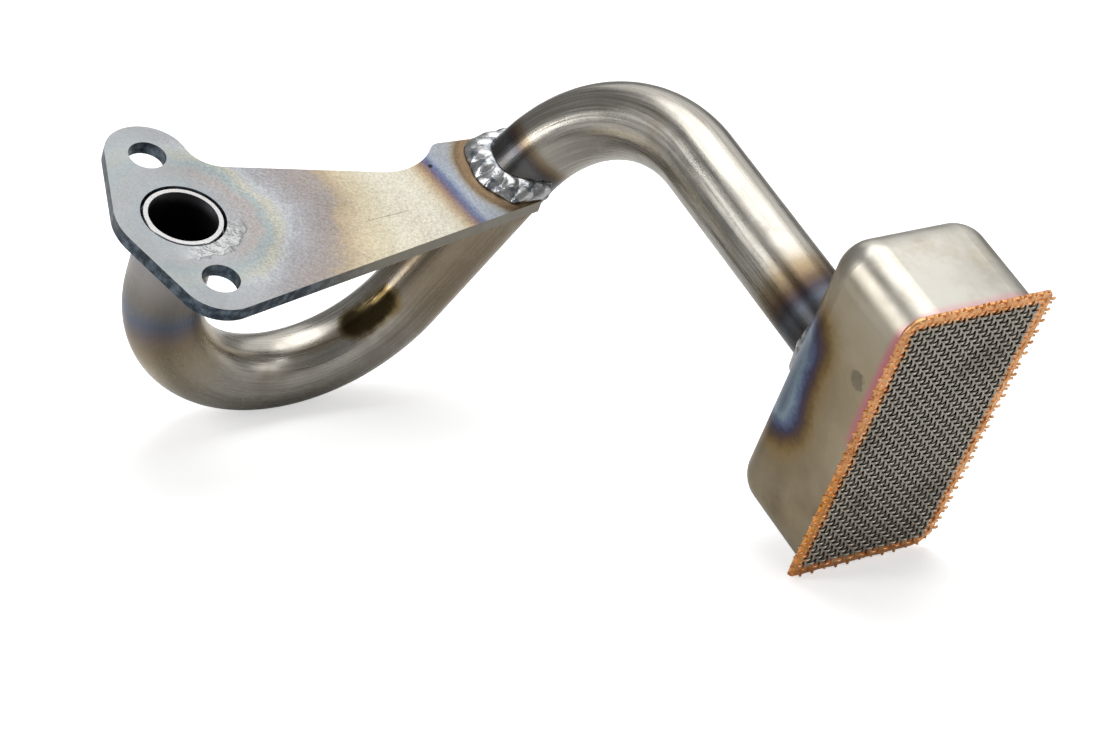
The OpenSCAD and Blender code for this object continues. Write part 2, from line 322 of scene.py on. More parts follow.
def buildWearGroup():
    numbers = ("Grime Amount", "Streak", "Roughness")
    sockets = {"Vector": "Vector", "Base": "Color", "Grime": "Color", **dict.fromkeys(numbers, "Float")}
    results = {"Color": "Color", "Roughness": "Float", "Height": "Float"}
    tree, into, out = newGroup("wornSteel", "ShaderNodeTree", sockets, results)
    coord = objectCoord(tree)
    streak = noiseNode(tree, into["Vector"], 1.0, detail=4.0, rough=0.6)
    blot = noiseNode(tree, coord, wornSteel["blotScale"], detail=5.0, rough=0.6)
    speck = noiseNode(tree, coord, wornSteel["speckScale"], detail=2.0, rough=0.5)
    low = minus(tree, streak, 0.5)
    bright = shaded(tree, into["Base"], plus(tree, 1.0, times(tree, low, into["Streak"])))
    stain = mapRange(tree, blot, wornSteel["stainFrom"], wornSteel["stainTo"])
    dirt = times(tree, stain, into["Grime Amount"])
    feed(tree, out["Color"], mixColor(tree, dirt, bright, into["Grime"]))
    worn = times(tree, minus(tree, blot, wornSteel["blotMiddle"]), wornSteel["blotRough"])
    grain = times(tree, low, wornSteel["grainRough"])
    feed(tree, out["Roughness"], plus(tree, into["Roughness"], plus(tree, worn, grain)))
    feed(tree, out["Height"], plus(tree, streak, times(tree, speck, wornSteel["speckHeight"])))
    return tree


wearGroup = buildWearGroup()
heatGroups = {kind: buildHeatGroup(kind + "Tint", **tint) for kind, tint in heatTints.items()}


def heatGap(tree, coord, source, at, place):  # a place is a point, a line or a distance along the tube
    if at is None:
        return unsigned(tree, minus(tree, wrapped(tree, source)[1], place))
    if len(place) == 2:
        return lineGap(tree, coord, at, *place)
    return pointGap(tree, coord, at, place)


def addHeats(tree, coord, source, heats, color):
    for heat in heats:
        node = tree.nodes.new("ShaderNodeGroup")
        node.node_tree = heatGroups[heat["kind"]]
        feed(tree, node.inputs["Base"], color)
        feed(tree, node.inputs["Distance"], heatGap(tree, coord, source, heat["at"], heat["place"]))
        for label in ("near", "far", "wobble", "amount"):
            node.inputs[label.title()].default_value = heat[label]
        color = node.outputs["Color"]
    return color


darkGrime = (0.16, 0.13, 0.10, 1)
bumpDepth = 0.0002


def steel(name, look):
    material = bpy.data.materials.new(name)
    material.use_nodes = True
    tree = material.node_tree
    shader = tree.nodes["Principled BSDF"]
    coord = objectCoord(tree)
    source = coord
    if look.get("uv"):
        uvMap = tree.nodes.new("ShaderNodeUVMap")
        uvMap.uv_map = "wrap"
        source = uvMap.outputs["UV"]
    mapping = addNode(tree, "ShaderNodeMapping", {"Vector": source, "Scale": look["grain"]})
    wear = tree.nodes.new("ShaderNodeGroup")
    wear.node_tree = wearGroup
    settings = {
        "Vector": mapping.outputs["Vector"], "Base": look["base"], "Roughness": look["roughness"],
        "Streak": look["streak"], "Grime": look.get("grime", darkGrime), "Grime Amount": look["grimeAmount"],
    }
    for label, value in settings.items():
        feed(tree, wear.inputs[label], value)
    color, rough, height = (wear.outputs[label] for label in ("Color", "Roughness", "Height"))
    if not look.get("heatLast"):
        color = addHeats(tree, coord, source, look.get("heats", []), color)
    color, rough, height = look["marks"](tree, coord, source, color, rough, height)
    if look.get("heatLast"):
        color = addHeats(tree, coord, source, look["heats"], color)
    relief = {"Strength": look["bump"], "Distance": bumpDepth, "Height": height}
    bump = addNode(tree, "ShaderNodeBump", relief)
    surface = {"Metallic": 1.0, "Base Color": color, "Roughness": rough, "Normal": bump.outputs["Normal"]}
    for label, value in surface.items():
        feed(tree, shader.inputs[label], value)
    return material


spotEdge = (0.75, 1.15)  # shares of a spot's size between which it fades


def spotMask(tree, coord, at, place, size, ragged, scale):
    rag = times(tree, swing(tree, coord, scale, detail=4.0), ragged)
    gap = plus(tree, pointGap(tree, coord, at, place), rag)
    return mapRange(tree, gap, size * spotEdge[0], size * spotEdge[1], 1.0, 0.0, smooth=True)


def tinted(tree, color, mask, amount, tone):
    return mixColor(tree, times(tree, mask, amount), color, tone)


# marks: a run, ring, turn, level or band is low, high and softness; a fade is low, high and its values there

# flange plate: dark cut edges, grey ears, metal melted beside the bore, a pit and a scratch
plateMark = dict(
    speckleScale=1500.0, speckleFade=(0.3, 0.7, 0.7, 1.3),
    sawScale=480.0, sawFade=(0.4, 0.65), edgeDark=(0.02, 0.035, 0.05, 1), edgePale=(0.13, 0.17, 0.21, 1),
    edgeFade=(0.5, 0.8, 0.92, 0.0), armEdge=(0.30, 0.275, 0.22, 1), armEdgeFade=(14.0, 46.0, 0.0, 0.85),
    earTone=(0.25, 0.275, 0.285, 1), earFade=(0.0, 16.0, 0.65, 0.0), flatFade=(0.7, 0.9),
    lumpScale=330.0, lumpReach=5.0, lumpHeight=9.0, meltRing=(9.5, 14.2, 0.8), meltTurn=(-0.3, 1.2, 0.3),
    meltTone=(0.36, 0.36, 0.35, 1), meltAmount=0.5, meltPolish=0.12,
    crackLevel=(0.47, 0.50, 0.012), seamRing=(14.0, 14.5, 0.35), crackTone=(0.07, 0.075, 0.08, 1),
    crackAmount=0.6, pit=dict(place=(-5.5, 69.2, 0), size=0.7, ragged=0.5, scale=900.0),
    pitTone=(0.02, 0.02, 0.02, 1), scratchRun=(44, 56, 2.0), scratchSlope=0.12,
    scratchBand=(15.0, 15.25, 0.15), scratchTone=(0.12, 0.10, 0.08, 1), scratchAmount=0.6,
)


def plateFaces(tree, coord, y, color):
    mark = plateMark
    speckle = noiseNode(tree, coord, mark["speckleScale"], detail=4.0, rough=0.75)
    color = shaded(tree, color, mapRange(tree, speckle, *mark["speckleFade"]))
    upright = unsigned(tree, facing(tree, flangeAt["z"]))
    saw = mapRange(tree, noiseNode(tree, coord, mark["sawScale"]), *mark["sawFade"])
    cut = mixColor(tree, saw, mark["edgeDark"], mark["edgePale"])
    cut = mixColor(tree, mapRange(tree, y, *mark["armEdgeFade"], smooth=True), cut, mark["armEdge"])
    color = mixColor(tree, mapRange(tree, upright, *mark["edgeFade"]), color, cut)
    onEars = mapRange(tree, y, *mark["earFade"], smooth=True)
    flat = mapRange(tree, upright, *mark["flatFade"])
    return tinted(tree, color, onEars, flat, mark["earTone"])


def plateMelt(tree, coord, x, y, color, rough, height):
    mark = plateMark
    lump = noiseNode(tree, coord, mark["lumpScale"])
    ragged = times(tree, minus(tree, lump, 0.5), mark["lumpReach"])
    fromBore = plus(tree, pointGap(tree, coord, flangeAt, (0, 0, 0)), ragged)
    beside = window(tree, mathNode(tree, "ARCTAN2", y, x), *mark["meltTurn"])
    melt = times(tree, window(tree, fromBore, *mark["meltRing"]), beside)
    color = tinted(tree, color, melt, mark["meltAmount"], mark["meltTone"])
    rough = minus(tree, rough, times(tree, melt, mark["meltPolish"]))
    height = plus(tree, height, times(tree, times(tree, melt, lump), mark["lumpHeight"]))
    crack = times(tree, window(tree, lump, *mark["crackLevel"]), melt)
    seam = times(tree, window(tree, fromBore, *mark["seamRing"]), beside)
    color = tinted(tree, color, larger(tree, crack, seam), mark["crackAmount"], mark["crackTone"])
    return color, rough, height


def plateMarks(tree, coord, source, color, rough, height):
    mark = plateMark
    x, y = (axisValue(tree, coord, flangeAt, axis) for axis in "xy")
    color = plateFaces(tree, coord, y, color)
    color, rough, height = plateMelt(tree, coord, x, y, color, rough, height)
    color = mixColor(tree, spotMask(tree, coord, flangeAt, **mark["pit"]), color, mark["pitTone"])
    aslant = plus(tree, x, times(tree, y, mark["scratchSlope"]))
    scratch = window(tree, aslant, *mark["scratchBand"])
    scratch = times(tree, scratch, window(tree, y, *mark["scratchRun"]))
    return tinted(tree, color, scratch, mark["scratchAmount"], mark["scratchTone"]), rough, height


armFront = ((-11.0, 93.4, 0.0), (11.0, 97.6, 0.0))  # the line from which the weld's heat went down the arm
plateLook = dict(
    base=(0.47, 0.43, 0.35, 1), roughness=0.36, grain=(1300, 1300, 1300), streak=3.0, bump=0.2,
    grimeAmount=0.3, marks=plateMarks,
    heats=[
        dict(kind="halo", at=flangeAt, place=(0, 0, 0), near=9, far=66, wobble=0.2, amount=0.9),
        dict(kind="temper", at=flangeAt, place=armFront, near=15.8, far=46, wobble=0.06, amount=0.95),
        dict(kind="scorch", at=flangeAt, place=armCrossing, near=15.6, far=19.6, wobble=0.3, amount=0.95),
    ],
)

# tube: brown on the riser, a dark run of oil on the inside of the low bend, painted shade on the underside,
# and a bore darkened with painted shade
tubeMark = dict(
    paintedShadeWay=(0.1, -0.45, -0.88), paintedShadeFade=(-0.3, 0.8, 0.0, 0.19), paintedShadeTone=(0.11, 0.09, 0.06, 1),
    brownRun=(118, 158, 12), brownAmount=0.65, brownTone=(0.20, 0.135, 0.06, 1),
    oilPath=((2.4, 56.2, -43.1), (2.7, 58.4, -41.3), (2.9, 60.4, -39.4), (3.2, 62.4, -36.9)),
    oil=dict(size=3.6, ragged=2.6, scale=190.0), oilAmount=0.85, oilTone=(0.045, 0.03, 0.008, 1),
    rim=dict(size=4.7, ragged=3.0, scale=190.0), rimAmount=0.7, rimTone=(0.22, 0.15, 0.035, 1),
    rimPolish=0.1, boreShadeAmount=0.93, boreShadeTone=(0.02, 0.02, 0.025, 1), boreRough=0.25,
)


def oilMask(tree, coord, spot):
    mask = 0.0
    for place in tubeMark["oilPath"]:
        mask = larger(tree, mask, spotMask(tree, coord, flangeAt, place, **spot))
    return mask


def tubeMarks(tree, coord, source, color, rough, height):
    mark = tubeMark
    around, along = wrapped(tree, source)
    # painted shade: faces turned down and to the near side are darkened to brown, standing in for a dark
    # reflection under the tube
    under = mapRange(tree, facing(tree, mark["paintedShadeWay"]), *mark["paintedShadeFade"], smooth=True)
    color = mixColor(tree, under, color, mark["paintedShadeTone"])
    brown = window(tree, along, *mark["brownRun"])
    color = tinted(tree, color, brown, mark["brownAmount"], mark["brownTone"])
    rim = oilMask(tree, coord, mark["rim"])
    color = tinted(tree, color, rim, mark["rimAmount"], mark["rimTone"])
    color = tinted(tree, color, oilMask(tree, coord, mark["oil"]), mark["oilAmount"], mark["oilTone"])
    rough = minus(tree, rough, times(tree, rim, mark["rimPolish"]))
    # painted shade: the inner wall is darkened nearly to black, and it is also made rougher
    inside = above(tree, around, insideTurn - 0.5)
    color = tinted(tree, color, inside, mark["boreShadeAmount"], mark["boreShadeTone"])
    return color, plus(tree, rough, times(tree, inside, mark["boreRough"])), height


tubeAtBox = 287.56  # distance along the tube from its end to the back of the box
tubeLook = dict(
    base=(0.48, 0.455, 0.41, 1), roughness=0.25, grain=(80, 3, 1), uv=True, streak=1.3, bump=0.18,
    grime=(0.17, 0.12, 0.055, 1), grimeAmount=0.6, marks=tubeMarks,
    heats=[
        dict(kind="soft", at=None, place=0.0, near=12, far=64, wobble=0.12, amount=0.92),
        dict(kind="ring", at=flangeAt, place=armCrossing, near=7.5, far=14.5, wobble=0.25, amount=0.9),
        dict(kind="ring", at=None, place=tubeAtBox, near=0, far=26, wobble=0.12, amount=0.95),
    ],
)

# inlet box: olive on its near side, brown painted shade towards the lower end of that side, a smudge, and a
# pink painted highlight along the edges by the braze
boxMark = dict(
    nearFade=(-18.8, -13.0, 1.0, 0.0),
    oliveRun=(-34, 60, 12), oliveAmount=0.56, oliveTone=(0.36, 0.25, 0.085, 1),
    cloudScale=90.0, cloudFade=(0.35, 0.7, 0.5, 1.1),
    lowerShadeRun=(10, 37, 7), lowerShadeAmount=0.7, lowerShadeTone=(0.12, 0.085, 0.045, 1),
    smudge=dict(place=(-16.4, -19.6, 23.3), size=2.3, ragged=3.5, scale=500.0),
    smudgeAmount=0.6, smudgeTone=(0.08, 0.08, 0.07, 1),
    sideFade=(26.0, 28.6, 0.0, 0.85), sideRun=(-37, -2, 4),
    topFade=(26.4, 28.6, 0.0, 0.8), topEndFade=(-38.6, -36.0, 0.45, 0.0), pinkSheenTone=(0.62, 0.17, 0.24, 1),
)


def boxMarks(tree, coord, source, color, rough, height):
    mark = boxMark
    u, v, w = (axisValue(tree, coord, boxAt, axis) for axis in "xyz")
    near = mapRange(tree, v, *mark["nearFade"])
    olive = times(tree, near, window(tree, u, *mark["oliveRun"]))
    color = tinted(tree, color, olive, mark["oliveAmount"], mark["oliveTone"])
    cloud = noiseNode(tree, coord, mark["cloudScale"], detail=4.0)
    # painted shade: the near side darkens to brown towards the box's lower end, broken up by cloudy noise
    lowerShade = times(tree, near, mapRange(tree, cloud, *mark["cloudFade"]))
    lowerShade = times(tree, window(tree, u, *mark["lowerShadeRun"]), lowerShade)
    color = tinted(tree, color, lowerShade, mark["lowerShadeAmount"], mark["lowerShadeTone"])
    smudge = spotMask(tree, coord, boxAt, **mark["smudge"])
    color = tinted(tree, color, smudge, mark["smudgeAmount"], mark["smudgeTone"])
    # painted highlight: a pink sheen along the edges by the mouth, on the upper half of the near side and
    # across the top end
    side = times(tree, mapRange(tree, w, *mark["sideFade"], smooth=True), window(tree, u, *mark["sideRun"]))
    topEnd = mapRange(tree, u, *mark["topEndFade"])
    top = times(tree, mapRange(tree, w, *mark["topFade"], smooth=True), topEnd)
    pinkSheen = larger(tree, times(tree, side, near), top)
    return mixColor(tree, pinkSheen, color, mark["pinkSheenTone"]), rough, height


tubeHole = (2.0, -1.9, 0.0)  # by the middle of the tube, on the back of the box
backCorner = ((-9.0, -16.5, 2.5), (6.5, -18.2, 4.5))  # along the near corner of the back
boxLook = dict(
    base=(0.55, 0.53, 0.475, 1), roughness=0.34, grain=(60, 60, 60), streak=0.3, bump=0.1,
    grimeAmount=0.35, marks=boxMarks, heatLast=True,
    heats=[
        dict(kind="dark", at=boxAt, place=tubeHole, near=10, far=36, wobble=0.25, amount=0.5),
        dict(kind="spot", at=boxAt, place=backCorner, near=0, far=17, wobble=0.35, amount=0.92),
    ],
)

# welds: bright, with blue-grey clouds
weldMark = dict(
    cloudScale=420.0, cloudFade=(0.48, 0.66, 0.0, 0.75), cloudTone=(0.13, 0.16, 0.20, 1), cloudHeight=2.0,
)


def weldMarks(tree, coord, source, color, rough, height):
    mark = weldMark
    cloud = mapRange(tree, noiseNode(tree, coord, mark["cloudScale"]), *mark["cloudFade"], smooth=True)
    color = mixColor(tree, cloud, color, mark["cloudTone"])
    return color, rough, plus(tree, height, times(tree, cloud, mark["cloudHeight"]))


weldLook = dict(
    base=(0.56, 0.565, 0.57, 1), roughness=0.3, grain=(700, 700, 700), streak=0.5, bump=0.3,
    grimeAmount=0.35, marks=weldMarks,
)

# screen wires: copper has run onto them past the edge of the braze
wireMark = dict(
    coatFrom=dict(x=38.0, y=17.3), coatFade=(-0.2, 0.4), ragScale=260.0, rag=1.6,
    copperScale=240.0, copperFade=(0.35, 0.65), copperDark=(0.60, 0.26, 0.08, 1),
    copperPale=(1.0, 0.60, 0.32, 1),
)


def wireMarks(tree, coord, source, color, rough, height):
    mark = wireMark
    past = [
        minus(tree, unsigned(tree, axisValue(tree, coord, boxAt, axis)), start)
        for axis, start in mark["coatFrom"].items()
    ]
    rag = times(tree, swing(tree, coord, mark["ragScale"]), mark["rag"])
    coated = mapRange(tree, plus(tree, larger(tree, *past), rag), *mark["coatFade"])
    tone = mapRange(tree, noiseNode(tree, coord, mark["copperScale"]), *mark["copperFade"])
    copper = mixColor(tree, tone, mark["copperDark"], mark["copperPale"])
    return mixColor(tree, coated, color, copper), rough, height


wireLook = dict(
    base=(0.47, 0.435, 0.375, 1), roughness=0.34, grain=(400, 400, 400), streak=0.6, bump=0.2,
    grimeAmount=0.6, marks=wireMarks,
)

# copper braze: a brighter orange low on its near side
brazeMark = dict(freshRun=(6, 38, 8), nearFade=(-19.2, -17.6, 0.75, 0.0), freshTone=(1.0, 0.44, 0.07, 1))


def brazeMarks(tree, coord, source, color, rough, height):
    mark = brazeMark
    u, v = (axisValue(tree, coord, boxAt, axis) for axis in "xy")
    fresh = window(tree, u, *mark["freshRun"])
    near = mapRange(tree, v, *mark["nearFade"])
    return tinted(tree, color, fresh, near, mark["freshTone"]), rough, height


brazeLook = dict(
    base=(0.94, 0.50, 0.23, 1), roughness=0.38, grain=(260, 260, 260), streak=0.9, bump=0.5,
    grime=(0.34, 0.14, 0.05, 1), grimeAmount=0.6, marks=brazeMarks,
)

plateSteel = steel("plateSteel", plateLook)
tubeSteel = steel("tubeSteel", tubeLook)
boxSteel = steel("boxSteel", boxLook)
weldSteel = steel("weldSteel", weldLook)
wireSteel = steel("wireSteel", wireLook)
copperBraze = steel("copperBraze", brazeLook)

for nodeName, material in (("flange_plate", plateSteel), ("inlet_box", boxSteel)):
    paint(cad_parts[nodeName].data, material)
print("materials ready")

# tube, swept along its two bends; endFace is the V across an end
tube = dict(
    outer=9.525, inner=8.425, bendRadius=38.1, inletDrop=0.2, inletRun=20.3, lowBend=151.0, lowHeading=90.5,
    riser=44.0, topBend=90.0, topHeading=91.0, lastRun=66.5,
    sides=72, runStep=4.0, bendStep=2.5, endFace=0.012,
)


def tubePath():
    heading = math.radians(tube["lowHeading"])
    ahead = Vector((0, 0, -1))
    points = [Vector((0, 0, -tube["inletDrop"]))]

    def run(length):
        count = max(1, round(length / tube["runStep"]))
        start = points[-1].copy()
        points.extend(start + ahead * length * i / count for i in range(1, count + 1))

    def bend(angle, side):
        start = points[-1].copy()
        total = math.radians(angle)
        count = max(1, round(angle / tube["bendStep"]))
        r = tube["bendRadius"]
        for i in range(1, count + 1):
            a = total * i / count
            points.append(start + ahead * r * math.sin(a) + side * r * (1 - math.cos(a)))
        sideAfter = side * math.cos(total) - ahead * math.sin(total)
        return ahead * math.cos(total) + side * math.sin(total), sideAfter

    run(tube["inletRun"])
    ahead, back = bend(tube["lowBend"], Vector((math.cos(heading), math.sin(heading), 0)))
    run(tube["riser"])
    twist = Matrix.Rotation(math.radians(tube["topHeading"]), 3, ahead)
    ahead = bend(tube["topBend"], twist @ back)[0]
    run(tube["lastRun"])
    return points


def tubeWalls(mesh, points):
    walls = {"outer": [], "inner": []}
    last = len(points) - 1
    side = Vector((1, 0, 0))
    for i, p in enumerate(points):
        ahead = (points[min(i + 1, last)] - points[max(i - 1, 0)]).normalized()
        side = (side - ahead * side.dot(ahead)).normalized()
        other = ahead.cross(side)
        for wall, rings in walls.items():
            ring = []
            for k in range(tube["sides"]):
                a = 2 * math.pi * k / tube["sides"]
                spoke = side * math.cos(a) + other * math.sin(a)
                ring.append(mesh.verts.new(placed(flangeAt, p + spoke * tube[wall])))
            rings.append(ring)
    return walls["outer"], walls["inner"]


def makeTube():
    points = tubePath()
    along = [0.0]
    for a, b in zip(points, points[1:]):
        along.append(along[-1] + (b - a).length)
    mesh = bmesh.new()
    wrap = mesh.loops.layers.uv.new("wrap")
    outer, inner = tubeWalls(mesh, points)

    def quad(corners, uvs, smooth=True):
        face = mesh.faces.new(corners)
        face.smooth = smooth
        for loop, uv in zip(face.loops, uvs):
            loop[wrap].uv = uv

    for k in range(tube["sides"]):
        n = (k + 1) % tube["sides"]
        u0, u1 = k / tube["sides"], (k + 1) / tube["sides"]
        i0, i1 = u0 + insideTurn, u1 + insideTurn
        for i in range(len(points) - 1):
            v0, v1 = along[i] * alongScale, along[i + 1] * alongScale
            a, b = outer[i], outer[i + 1]
            quad((a[k], a[n], b[n], b[k]), ((u0, v0), (u1, v0), (u1, v1), (u0, v1)))
            a, b = inner[i], inner[i + 1]
            quad((a[k], b[k], b[n], a[n]), ((i0, v0), (i0, v1), (i1, v1), (i1, v0)))
        for end, order in ((0, 1), (-1, -1)):
            corners = (outer[end][k], inner[end][k], inner[end][n], outer[end][n])
            uvs = ((u0, 0.0), (u0, tube["endFace"]), (u1, tube["endFace"]), (u1, 0.0))
            quad(corners[::order], uvs[::order], False)
    return meshObject("pickupTube", mesh)


tubeObject = makeTube()
dress(tubeObject, tubeSteel, "tube", "pickup_tube")
print("tube swept")


# what both geometry trees share
def finished(tree, geometry, material):
    smooth = addNode(tree, "GeometryNodeSetShadeSmooth", {"Geometry": geometry})
    whole = addNode(tree, "GeometryNodeRealizeInstances", {0: smooth.outputs[0]})
    coat = {"Geometry": whole.outputs[0], "Material": material}
    return addNode(tree, "GeometryNodeSetMaterial", coat).outputs[0]


def baked(name, holder, tree, values):
    modifier = holder.modifiers.new(tree.name, "NODES")
    modifier.node_group = tree
    ids = {item.name: item.identifier for item in tree.interface.items_tree if item.in_out == "INPUT"}
    for label, value in values.items():
        modifier[ids[label]] = value
    graph = bpy.context.evaluated_depsgraph_get()
    mesh = bpy.data.meshes.new_from_object(holder.evaluated_get(graph), depsgraph=graph)
    mesh.name = name
    bpy.data.objects.remove(holder)
    return mesh


# woven screen; firstTag keeps the tags of the random cuts above zero
weave = dict(
    pitch=1.7, wireRadius=0.33, crimp=0.31, scatter=0.6, snip=57.9, height=30.1,
    sides=6, perPitch=4, firstTag=500.0,
    longWires=dict(count=23, length=84.6, farTrim=1.1, seed=3),
    shortWires=dict(count=47, length=43.0, farTrim=0.0, seed=8),
)


def straightWires(tree, into, half):
    ends = {"Start": vectorOf(tree, X=times(tree, half, -1.0)), "End": vectorOf(tree, X=half)}
    line = addNode(tree, "GeometryNodeCurvePrimitiveLine", ends)
    fine = addNode(tree, "GeometryNodeResampleCurve", {"Curve": line.outputs[0], "Count": into["Points"]})
    across = times(tree, minus(tree, into["Wire Count"], 1.0), into["Pitch"])
    row = addNode(tree, "GeometryNodeMeshLine", {
        "Count": into["Wire Count"],
        "Start Location": vectorOf(tree, Y=times(tree, across, -0.5)),
        "Offset": vectorOf(tree, Y=into["Pitch"]),
    })
    copies = {"Points": row.outputs[0], "Instance": fine.outputs[0]}
    wires = addNode(tree, "GeometryNodeInstanceOnPoints", copies)
    return addNode(tree, "GeometryNodeRealizeInstances", {0: wires.outputs[0]}).outputs[0]


def buildWeaveTree():
    lengths = ("Wire Length", "Pitch", "Wire Radius", "Crimp", "End Scatter", "Far Trim", "Corner Snip")
    counts = ("Wire Count", "Points", "Sides", "Seed")
    sockets = {**dict.fromkeys(lengths, "Float"), **dict.fromkeys(counts, "Int"), "Material": "Material"}
    tree, into, out = newGroup("wovenWires", "GeometryNodeTree", sockets, {"Geometry": "Geometry"})
    half = times(tree, into["Wire Length"], 0.5)
    wires = straightWires(tree, into, half)
    position = tree.nodes.new("GeometryNodeInputPosition").outputs[0]
    place = addNode(tree, "ShaderNodeSeparateXYZ", {0: position}).outputs

    # each wire end is cut at its own length, and two corners of the screen are snipped
    number = mathNode(tree, "ROUND", over(tree, place["Y"], into["Pitch"]))
    farEnd = above(tree, place["X"], 0.0)
    tag = plus(tree, plus(tree, times(tree, number, 2.0), farEnd), weave["firstTag"])
    cut = addNode(tree, "FunctionNodeRandomValue", {3: into["End Scatter"], "ID": tag, "Seed": into["Seed"]})
    shorter = times(tree, farEnd, into["Far Trim"])
    limit = minus(tree, minus(tree, half, cut.outputs[1]), shorter)
    beyond = above(tree, unsigned(tree, place["X"]), limit)
    diagonal = plus(tree, place["X"], place["Y"])
    snipped = above(tree, unsigned(tree, diagonal), into["Corner Snip"])
    removed = {"Geometry": wires, "Selection": larger(tree, beyond, snipped)}
    trimmed = addNode(tree, "GeometryNodeDeleteGeometry", removed)

    # the crimp takes each wire over one neighbour and under the next
    wave = mathNode(tree, "COSINE", times(tree, over(tree, diagonal, into["Pitch"]), math.pi))
    lift = vectorOf(tree, Z=times(tree, wave, into["Crimp"]))
    bent = addNode(tree, "GeometryNodeSetPosition", {"Geometry": trimmed.outputs[0], "Offset": lift})
    outline = {"Resolution": into["Sides"], "Radius": into["Wire Radius"]}
    profile = addNode(tree, "GeometryNodeCurvePrimitiveCircle", outline)
    solid = addNode(tree, "GeometryNodeCurveToMesh", {
        "Curve": bent.outputs[0], "Profile Curve": profile.outputs[0], "Fill Caps": True,
    })
    feed(tree, out["Geometry"], finished(tree, solid.outputs[0], into["Material"]))
    return tree


def makeWires(tree, name, at):
    row = weave[name]
    holder = newObject(name + "Holder", bpy.data.meshes.new(name + "Holder"))
    values = {
        "Wire Length": row["length"] * mm, "Pitch": weave["pitch"] * mm, "Crimp": weave["crimp"] * mm,
        "Wire Radius": weave["wireRadius"] * mm, "End Scatter": weave["scatter"] * mm,
        "Far Trim": row["farTrim"] * mm, "Corner Snip": weave["snip"] * mm, "Wire Count": row["count"],
        "Points": round(row["length"] / weave["pitch"] * weave["perPitch"]) + 1,
        "Sides": weave["sides"], "Seed": row["seed"], "Material": wireSteel,
    }
    mesh = baked(name, holder, tree, values)
    mesh.transform(at)
    mesh.update()
    return newObject(name, mesh)


def makeScreen():
    tree = buildWeaveTree()
    middle = placed(boxAt, (0, 0, weave["height"]))
    along = frameMatrix(boxAt["x"], boxAt["y"], boxAt["z"], middle)
    across = frameMatrix(boxAt["y"], boxAt["x"], -boxAt["z"], middle)
    return makeWires(tree, "longWires", along), makeWires(tree, "shortWires", across)


for wires in makeScreen():
    dress(wires, wireSteel, "screen", "wire_screen")
    print("screen woven", wires.name, len(wires.data.polygons))

# copper braze along the screen's edge
braze = dict(
    long=82.0, short=40.4, corners=(5.0, 1.0, 5.0, 1.0), cornerSteps=14, step=0.6,
    lap=2.8, lapWander=0.6, side=-0.1, sideWander=0.16, top=30.35, topWander=0.1, foot=28.7, footWander=0.3,
    driftScale=0.22, fineDrift=3.1, swellScale=2.3, swellShift=Vector((7, 1, 3)), seed=5.0,
)


def roundedPath(long, short, radii):
    signs = ((1, 1), (-1, 1), (-1, -1), (1, -1))
    centres = [Vector((u * (long / 2 - r), v * (short / 2 - r))) for (u, v), r in zip(signs, radii)]
    out = []

    def outward(quarters):
        a = math.pi / 2 * quarters
        return Vector((math.cos(a), math.sin(a)))

    for k, (centre, r) in enumerate(zip(centres, radii)):
        for i in range(braze["cornerSteps"] + 1):
            way = outward(k + i / braze["cornerSteps"])
            out.append((centre + way * r, way))
        way = outward(k + 1)
        start = out[-1][0]
        following = (k + 1) % len(radii)
        end = centres[following] + way * radii[following]
        steps = max(2, round((end - start).length / braze["step"]))
        out.extend((start + (end - start) * i / steps, way) for i in range(1, steps))
    return out


def brazeSection(p):  # pairs of a distance out from the screen's edge and a height over the box's back
    spot = Vector((p.x * braze["driftScale"], p.y * braze["driftScale"], braze["seed"]))
    drift = noise.noise(spot) + 0.5 * noise.noise(spot * braze["fineDrift"])
    swell = noise.noise(spot * braze["swellScale"] + braze["swellShift"])
    lap = braze["lap"] + braze["lapWander"] * drift
    side = braze["side"] + braze["sideWander"] * swell
    top = braze["top"] + braze["topWander"] * drift
    foot = braze["foot"] + braze["footWander"] * swell
    # from the foot up the side, over the top and down the inner edge
    return [
        (-0.75, foot), (side - 0.35, foot + 0.2), (side - 0.02, foot + 0.75), (side, top - 0.45),
        (side - 0.2, top - 0.1), (side - 0.6, top), (-lap * 0.6, top - 0.05), (-lap * 0.88, top - 0.3),
        (-lap, top - 0.65), (-lap, top - 0.95),
    ]


def makeBraze():
    mesh = bmesh.new()
    rings = []
    for p, way in roundedPath(braze["long"], braze["short"], braze["corners"]):
        section = [(p.x + way.x * out, p.y + way.y * out, height) for out, height in brazeSection(p)]
        rings.append([mesh.verts.new(placed(boxAt, corner)) for corner in section])
    loft(mesh, rings, True, True)
    bmesh.ops.recalc_face_normals(mesh, faces=mesh.faces)
    return meshObject("brazeEdge", mesh)


brazeEdge = makeBraze()
dress(brazeEdge, copperBraze, "braze", "screen_braze")
print("braze laid")

# weld beads: a plain fillet in Python, its ripples in Geometry Nodes
bead = dict(skinPoints=15, driftScale=350.0)


